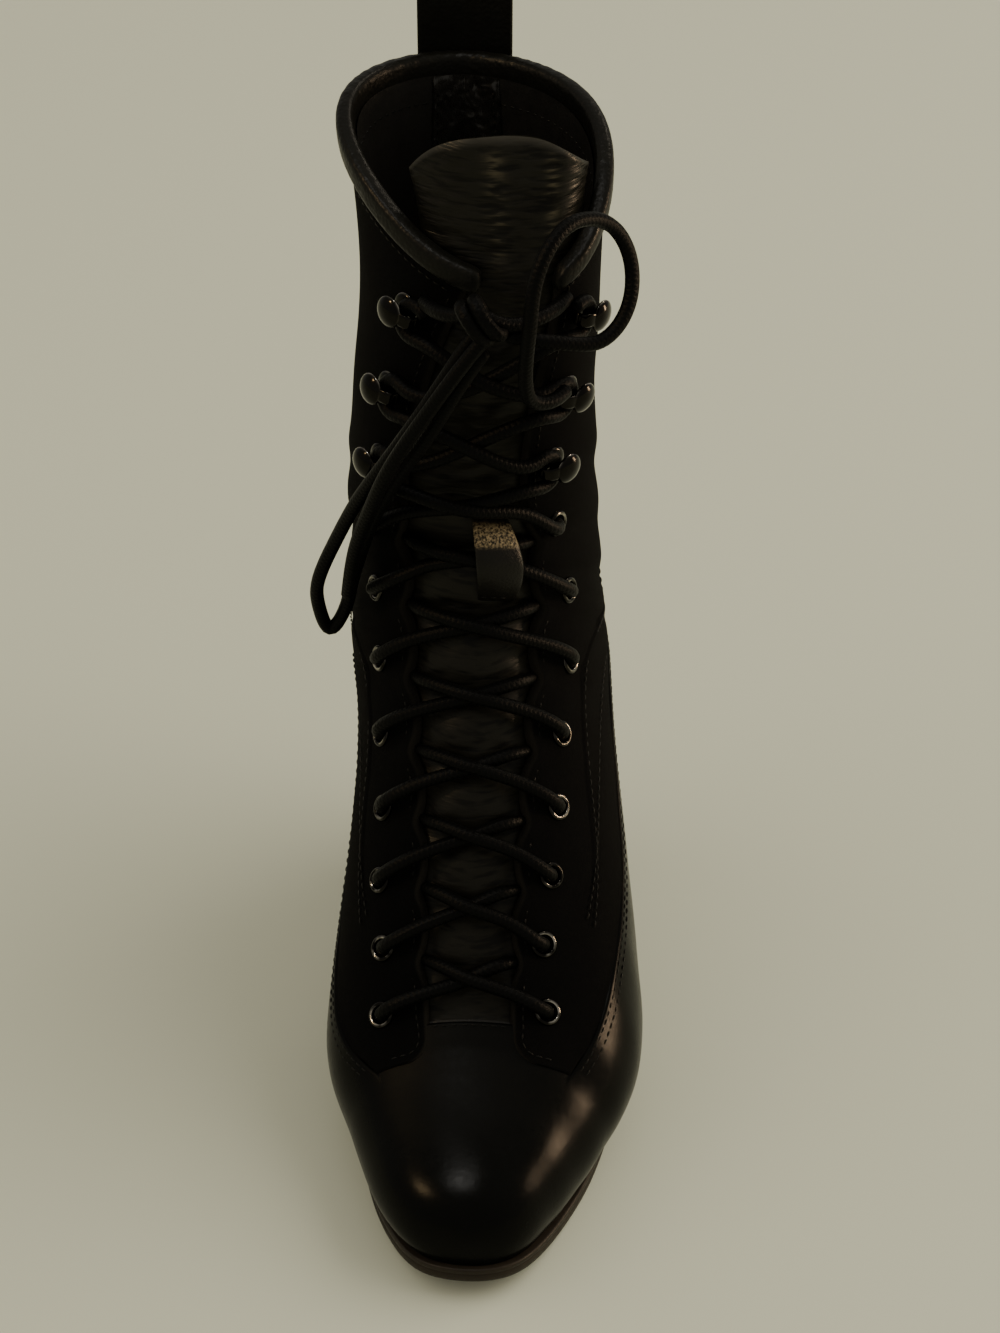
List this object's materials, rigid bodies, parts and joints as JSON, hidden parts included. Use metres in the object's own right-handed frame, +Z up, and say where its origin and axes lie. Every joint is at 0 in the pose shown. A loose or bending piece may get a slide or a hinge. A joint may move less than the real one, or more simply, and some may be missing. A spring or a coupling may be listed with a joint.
{
  "type": "heeled lace-up boot",
  "caption": "Black lace-up ankle boot for the left foot: leather toe and foxing, suede shaft with eyelets and hooks, padded collar, pull loop and a stacked block heel.",
  "frame": {"origin": "on the floor, under the middle of the boot's box without its free lace ends", "axes": "+Z up, -Y towards the toe, +X towards the outer side of the left foot"},
  "size_m": [0.1027, 0.2432, 0.3158],
  "materials": {
    "black_suede": "matte napped suede",
    "black_calf": "smooth, soft shine",
    "dark_sole_leather": "inked edge, satin",
    "black_rubber": "matte",
    "black_lining": "matte lining",
    "black_nickel": "black nickel plating",
    "waxed_cord": "waxed round cord"
  },
  "bodies": {
    "root": {"upper": "black_suede", "tongue": "black_calf", "lace_keeper": "black_calf", "collar_roll": "black_calf", "pull_loop": "black_calf", "outsole": "dark_sole_leather", "heel": "dark_sole_leather", "heel_top_lift": "black_rubber", "insole": "black_lining", "eyelet_lateral_1": "black_nickel", "eyelet_lateral_2": "black_nickel", "eyelet_lateral_3": "black_nickel", "eyelet_lateral_4": "black_nickel", "eyelet_lateral_5": "black_nickel", "eyelet_lateral_6": "black_nickel", "eyelet_lateral_7": "black_nickel", "eyelet_lateral_8": "black_nickel", "hook_lateral_1": "black_nickel", "hook_lateral_2": "black_nickel", "hook_lateral_3": "black_nickel", "eyelet_medial_1": "black_nickel", "eyelet_medial_2": "black_nickel", "eyelet_medial_3": "black_nickel", "eyelet_medial_4": "black_nickel", "eyelet_medial_5": "black_nickel", "eyelet_medial_6": "black_nickel", "eyelet_medial_7": "black_nickel", "eyelet_medial_8": "black_nickel", "hook_medial_1": "black_nickel", "hook_medial_2": "black_nickel", "hook_medial_3": "black_nickel", "lace_crossing_1": "waxed_cord", "lace_crossing_2": "waxed_cord", "lace_crossing_3": "waxed_cord", "lace_crossing_4": "waxed_cord", "lace_crossing_5": "waxed_cord", "lace_crossing_6": "waxed_cord", "lace_crossing_7": "waxed_cord", "lace_crossing_8": "waxed_cord", "lace_crossing_9": "waxed_cord", "lace_crossing_10": "waxed_cord", "lace_knot": "waxed_cord", "lace_loop_left": "waxed_cord", "lace_end_left": "waxed_cord", "lace_loop_right": "waxed_cord"}
  },
  "joints": []
}
